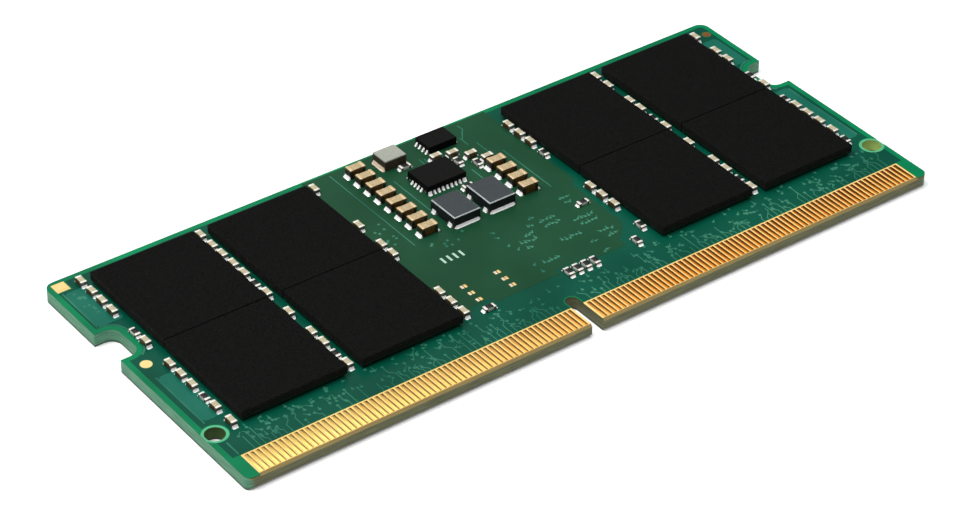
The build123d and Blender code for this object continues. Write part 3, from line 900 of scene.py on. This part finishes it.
def outline(inset, front, slot_inset, bay_radius):
    """The board's outline drawn in by inset, cut off below y = front, with bays round the holes."""
    right_x = side_edge - inset
    top_y = back_edge - inset
    inner = side_edge - notch_depth - inset
    low_y, high_y = notch_low - inset, notch_high + inset
    bend = notch_radius + inset
    corner = max(0.9 * MM - inset, 0.1 * MM)
    swing = math.degrees(math.acos((right_x - hole_x) / bay_radius))
    half = arc(hole_x, hole_y, bay_radius, 360 - swing, swing, 20)
    half += [(right_x, low_y)]
    half += arc(inner + bend, low_y + bend, bend, 270, 180)
    half += arc(inner + bend, high_y - bend, bend, 180, 90)
    half += [(right_x, high_y)]
    half += arc(right_x - corner, top_y - corner, corner, 0, 90)
    points = [(right_x, front)] + half
    left_half = [(-x, y) for x, y in reversed(half)]
    pad_low, pad_high = (corner_pad[0].x, corner_pad[0].y), (corner_pad[1].x, corner_pad[1].y)
    step_x, step_y = pad_high[0] + pad_margin, pad_low[1] - pad_margin
    left_half = [point for point in left_half if not (point[0] < step_x and point[1] > step_y)]
    points += [(step_x, top_y), (step_x, step_y), (-right_x, step_y)] + left_half + [(-right_x, front)]
    if front < key_top:
        gap = key_half + slot_inset
        slot_top = key_top - key_half
        points += [(key_middle - gap, front)]
        points += arc(key_middle, slot_top, gap, 180, 0)
        points += [(key_middle + gap, front)]
    return points


def plate(name, rings, low, thickness, material, rounding):
    """A flat plate with holes: the first ring is the outline, the rest are cut out."""
    curve = bpy.data.curves.new(name, "CURVE")
    curve.dimensions = "2D"
    curve.fill_mode = "BOTH"
    curve.extrude = max(thickness / 2 - rounding, 1e-7)
    curve.bevel_depth = rounding
    curve.bevel_resolution = 1
    curve.offset = -rounding
    for ring in rings:
        spline = curve.splines.new("POLY")
        spline.points.add(len(ring) - 1)
        for point, (x, y) in zip(spline.points, ring):
            point.co = (x, y, 0, 1)
        spline.use_cyclic_u = True
    maker = bpy.data.objects.new(name + "_curve", curve)
    bpy.context.scene.collection.objects.link(maker)
    maker.location.z = low + thickness / 2
    bpy.context.view_layer.update()
    mesh = bpy.data.meshes.new_from_object(maker.evaluated_get(bpy.context.evaluated_depsgraph_get()))
    mesh.transform(maker.matrix_world)
    mesh.name = name
    bpy.data.objects.remove(maker)
    mesh.materials.clear()
    add_piece(mesh, material, 30)


# %% Base mask materials on the CAD mask
finish_node("front_solder_mask", mask_edge)


def round_hole(x, y, radius):
    """A ring of points for a cut-out, run the other way round."""
    return arc(x, y, radius, 360, 15, 23)


def pad_ring(box, margin):
    """A rectangular cut-out round a pad."""
    low, high = box
    return [
        (low.x - margin, low.y - margin),
        (low.x - margin, high.y + margin),
        (high.x + margin, high.y + margin),
        (high.x + margin, low.y - margin),
    ]


pad_boxes = solids_of("spare_pads")
mask_step = 0.004 * MM
copper_lift = 0.012 * MM
lacquer_edge = 0.004 * MM
ink_height = 0.018 * MM
strip_top = contact_edge + 2.78 * MM
windows = [pad_ring(box, 0.02 * MM) for box in pad_boxes]
for low, high in mark_boxes[1:]:
    middle = (low + high) / 2
    windows.append(round_hole(middle.x, middle.y, (high.x - low.x) / 2 + 0.05 * MM))

plate(
    "mask_over_inner_layers",
    [outline(0.5 * MM, strip_top, 0.1 * MM, 1.15 * MM)] + windows,
    mask_top,
    mask_step,
    mask_bare,
    0.001 * MM,
)


# %% [markdown]
# Large copper areas carry ground and power. Painting them in a texture would leave the
# surface flat, so each is a thin plate with rounded rims that catches light at its edge.

# %% Copper areas under the mask
def block(x0, x1, y0, y1, cut):
    """A rectangle with cut corners, in millimetres from the middle and the contact edge."""
    corners = [(x0 + cut, y0), (x1 - cut, y0), (x1, y0 + cut), (x1, y1 - cut)]
    corners += [(x1 - cut, y1), (x0 + cut, y1), (x0, y1 - cut), (x0, y0 + cut)]
    return [(x * MM, contact_edge + y * MM) for x, y in corners]


copper_base = mask_top + mask_step
centre_pour = [
    (x * MM, contact_edge + y * MM)
    for x, y in (
        (-9.7, 7.0), (-8.4, 7.0), (-8.4, 7.5), (-6.3, 7.5), (-6.3, 6.9), (0.2, 6.9), (0.2, 7.5), (4.2, 7.5),
        (4.2, 6.9), (7.2, 6.9), (7.2, 7.7), (8.6, 9.1), (9.0, 9.9), (9.0, 16.4), (9.6, 17.0), (9.6, 29.78),
        (-9.7, 29.78),
    )
]
spare_windows = [pad_ring(box, 0.03 * MM) for box in pad_boxes]
rings = [centre_pour] + spare_windows
plate("mask_over_centre_copper", rings, copper_base, copper_lift, mask_copper, lacquer_edge)
tick_boxes = solids_of("printed_ticks")
tick_low, tick_high = tick_boxes[0]
tick = box_shape((tick_high.x - tick_low.x, tick_high.y - tick_low.y, ink_height), 0.005 * MM, segments=1)
copper_top = copper_base + copper_lift
stamp(
    "raised_printed_ticks",
    [(tick, at((low.x + high.x) / 2, (low.y + high.y) / 2, copper_top)) for low, high in tick_boxes],
    ink,
    replaces=("printed_ticks",),
)
pad_low, pad_high = pad_boxes[0]
spare_pad = box_shape((pad_high.x - pad_low.x, pad_high.y - pad_low.y, 0.05 * MM), 0.02 * MM)
spare_places = [
    (spare_pad, at((low.x + high.x) / 2, (low.y + high.y) / 2, mask_top - 0.005 * MM))
    for low, high in pad_boxes
]
pads_per_column = len(spare_places) // 4
tinned = [place for index, place in enumerate(spare_places) if (index // pads_per_column) % 2 == 0]
bare = [place for index, place in enumerate(spare_places) if (index // pads_per_column) % 2 == 1]
stamp("tinned_spare_pads", tinned, warm_solder, replaces=("spare_pads",))
stamp("bare_spare_pads", bare, mark_gold)
margin_blocks = (
    ("back_left", (-34.0, -31.6, 22.6, 28.0)),
    ("front_left", (-33.7, -31.6, 7.7, 14.4)),
    ("back_right", (31.5, 34.0, 22.6, 27.2)),
    ("front_right", (31.5, 33.9, 7.8, 17.2)),
)
for name, (x0, x1, y0, y1) in margin_blocks:
    corners = block(x0, x1, y0, y1, 0.25)
    plate(f"mask_over_{name}_copper", [corners], copper_base, copper_lift, mask_margin, lacquer_edge)


# %% [markdown]
# Tracks and vias are copper under the lacquer. Bump alone would fade at a grazing view, so
# a track is a low ribbon with sloping sides and a via a low dome. The fan-out comes from
# seeded random choices. In the open middle the copper edges have places of their own.

# %% Ribbons over tracks
def ribbon(points, width, height):
    """A raised strip along a line of (x, y) points in metres, with sloping sides. Returns (points, faces)."""
    shape = bmesh.new()
    rows = []
    count = len(points)
    for index, (x, y) in enumerate(points):
        before = Vector(points[max(index - 1, 0)])
        after = Vector(points[min(index + 1, count - 1)])
        ahead_flat = (after - before).normalized()
        side = Vector((-ahead_flat.y, ahead_flat.x))
        row = []
        for reach, z in ((-0.5, 0), (-0.3, height), (0.3, height), (0.5, 0)):
            row.append(shape.verts.new((x + side.x * width * reach, y + side.y * width * reach, z)))
        rows.append(row)
    for near, far in zip(rows, rows[1:]):
        for a in range(4):
            b = (a + 1) % 4
            shape.faces.new((near[a], near[b], far[b], far[a]))
    shape.faces.new(rows[0])
    shape.faces.new(list(reversed(rows[-1])))
    return shape_data(shape)


def dome(radius, height, steps=12):
    """A low dome over a via, dimpled in its middle. Returns (points, faces)."""
    shape = bmesh.new()
    rings = ((1.0, 0.0), (0.82, 0.8), (0.6, 1.0), (0.35, 0.7), (0.15, 0.35))
    rows = []
    for share, rise in rings:
        rows.append(
            [
                shape.verts.new((radius * share * math.cos(a), radius * share * math.sin(a), height * rise))
                for a in (2 * math.pi * step / steps for step in range(steps))
            ]
        )
    for outer, inner in zip(rows, rows[1:]):
        for step in range(steps):
            after = (step + 1) % steps
            shape.faces.new((outer[step], outer[after], inner[after], inner[step]))
    shape.faces.new(rows[-1])
    shape.faces.new(list(reversed(rows[0])))
    return shape_data(shape)


track_height = 0.014 * MM
via = dome(0.19 * MM, 0.02 * MM)
small_via = dome(0.14 * MM, 0.016 * MM)
ribbons, domes = [], []


def track(points_mm, width=0.12, rise=0):
    """A track through (x, y) points in millimetres from the middle and the contact edge."""
    points = [(x * MM, contact_edge + y * MM) for x, y in points_mm]
    ribbons.append((ribbon(points, width * MM, track_height), at(0, 0, copper_base + rise * MM)))


def via_at(x, y, shape=via):
    """A via under the mask, in the same millimetres."""
    domes.append((shape, at(x * MM, contact_edge + y * MM, copper_base + 0.010 * MM)))


# %% Fan-out from the contacts
chip_front = (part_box("memory_chip_5")[0].y - contact_edge) / MM
last_tracked_x = 33.2
plain_share = 0.12
via_share = 0.75
scattered_vias = 210
for low, high in finger_boxes:
    x = (low.x + high.x) / 2 / MM
    top = (high.y - contact_edge) / MM + 0.15
    near_key = abs(x - key_middle / MM) < 1.3
    if near_key or abs(x) > last_tracked_x or random.random() < plain_share:
        continue
    reach = random.choice((0.5, 0.8, 1.1, 1.4, 1.8, 2.4))
    bend = random.choice((-0.45, -0.25, 0.0, 0.0, 0.25, 0.45))
    kink = top + reach * 0.55
    line = [(x, top), (x, kink), (x + bend, kink + abs(bend)), (x + bend, top + reach)]
    if top + reach > chip_front - 0.2:
        line[-1] = (x + bend, chip_front + 0.1)
    elif random.random() < via_share:
        via_at(x + bend, top + reach + 0.12, small_via)
    line = [point for index, point in enumerate(line) if index == 0 or point[1] > line[index - 1][1] + 0.02]
    track(line, width=0.09)
for _ in range(scattered_vias):
    x, y = random.uniform(-32.6, 32.6), random.uniform(3.3, chip_front - 0.1)
    if abs(x - key_middle / MM) < 1.2 and y < 4.8:
        continue
    via_at(x, y, small_via)
    slide = random.uniform(0.25, 0.6)
    along, up = random.choice(((0, 1), (0, 1), (0.7, 0.7), (-0.7, 0.7), (1, 0)))
    if y + up * slide < chip_front + 0.1:
        track(((x, y), (x + along * slide, y + up * slide)), width=0.08)

# %% Vias and copper edges in the open middle
via_rows = (
    (-0.75, 14.5, 1), (-0.85, 13.7, 1), (-0.8, 12.4, 1), (-0.45, 11.6, 1), (-0.7, 9.0, 1), (-0.65, 7.95, 1),
    (0.3, 12.0, 5), (0.35, 11.25, 2), (1.2, 12.75, 3), (2.2, 13.65, 2), (2.9, 14.45, 2),
    (3.4, 13.65, 5), (3.4, 12.85, 5), (3.35, 10.45, 6), (0.2, 8.85, 5), (5.15, 8.9, 2), (5.2, 7.3, 2),
    (5.9, 12.1, 6), (6.1, 11.35, 5), (6.7, 9.6, 4), (6.9, 8.8, 3), (6.8, 15.3, 3), (6.9, 14.6, 2),
)
for x, y, count in via_rows:
    for step in range(count):
        place_x, place_y = x + 0.36 * step, y + random.uniform(-0.1, 0.1)
        via_at(place_x, place_y, small_via)
        along, up = random.choice(((0, 0.34), (0.24, 0.24), (-0.24, 0.24), (0.3, 0)))
        track(((place_x, place_y), (place_x + along, place_y + up)), width=0.09, rise=0.012)
copper_edges = (
    ((-7.05, 17.0), (-7.05, 29.4)),
    ((-3.05, 19.8), (-3.05, 25.6)),
    ((6.2, 23.9), (6.2, 26.2)),
    ((7.35, 17.2), (7.35, 24.0)),
    ((3.4, 21.6), (3.4, 23.2)),
    ((6.35, 29.3), (6.45, 28.6), (6.1, 28.2), (5.4, 27.2)),
    ((5.4, 26.4), (5.4, 27.6)),
    ((0.6, 25.9), (0.6, 27.0)),
    ((1.0, 25.9), (1.0, 26.8)),
)
for points in copper_edges:
    track(points, width=0.14)
for x, y0, y1 in ((-34.05, 22.4, 28.1), (-33.75, 7.5, 14.5), (-33.65, 2.9, 4.6), (33.9, 8.0, 17.0)):
    track(((x, y0), (x, y1)), width=0.16)
for side in (-1, 1):
    margin = 0.62 * MM
    inner, bend = side_edge - notch_depth - margin, notch_radius + margin
    contour = [(side_edge - margin, notch_high + margin)]
    contour += arc(inner + bend, notch_high + margin - bend, bend, 90, 180)
    contour += arc(inner + bend, notch_low - margin + bend, bend, 180, 240)
    track([(side * x / MM, (y - contact_edge) / MM) for x, y in contour], width=0.16)
via_fields = ((-33.5, -31.9, 24.2, 27.6, 12), (-9.4, -7.4, 17.5, 22.0, 10), (-6.0, -2.4, 15.0, 16.6, 8))
for x0, x1, y0, y1, count in via_fields:
    for step in range(count):
        via_at(random.uniform(x0, x1), random.uniform(y0, y1), small_via)
stamp("mask_over_tracks", ribbons, mask_track)
stamp("mask_over_vias", domes, mask_track)

# %% [markdown]
# ## Floor
#
# A white floor just under the board. It is wide enough to fill the view, and it keeps the
# soft shadow of the board.

# %% Floor
floor_mesh = bpy.data.meshes.new("floor")
reach = 3.0
floor_mesh.from_pydata(
    [(-reach, -reach, 0), (reach, -reach, 0), (reach, reach, 0), (-reach, reach, 0)], [], [(0, 1, 2, 3)]
)
floor = bpy.data.objects.new("floor", floor_mesh)
bpy.context.scene.collection.objects.link(floor)
floor.location.z = -0.03 * MM
floor_material, floor_tree, floor_shader = new_material("white floor", 0.9, specular=0.0)
floor_grain = place_group(floor_tree, grain_group, Scale=300.0)
floor_tree.links.new(
    blend_colours(floor_tree, floor_grain.outputs["Patches"], (0.93, 0.93, 0.93, 1), (0.96, 0.96, 0.96, 1)),
    floor_shader.inputs["Base Color"],
)
floor_path = floor_tree.nodes.new("ShaderNodeLightPath")
floor_shader.inputs["Emission Color"].default_value = (1, 1, 1, 1)
floor_glow = math_node(floor_tree, "MULTIPLY", floor_path.outputs["Is Camera Ray"], 0.12)
floor_tree.links.new(floor_glow, floor_shader.inputs["Emission Strength"])
floor_mesh.materials.append(floor_material)

# %% [markdown]
# The Standard view shows a colour as it is written.

# %% Colours as written
bpy.context.scene.view_settings.view_transform = "Standard"
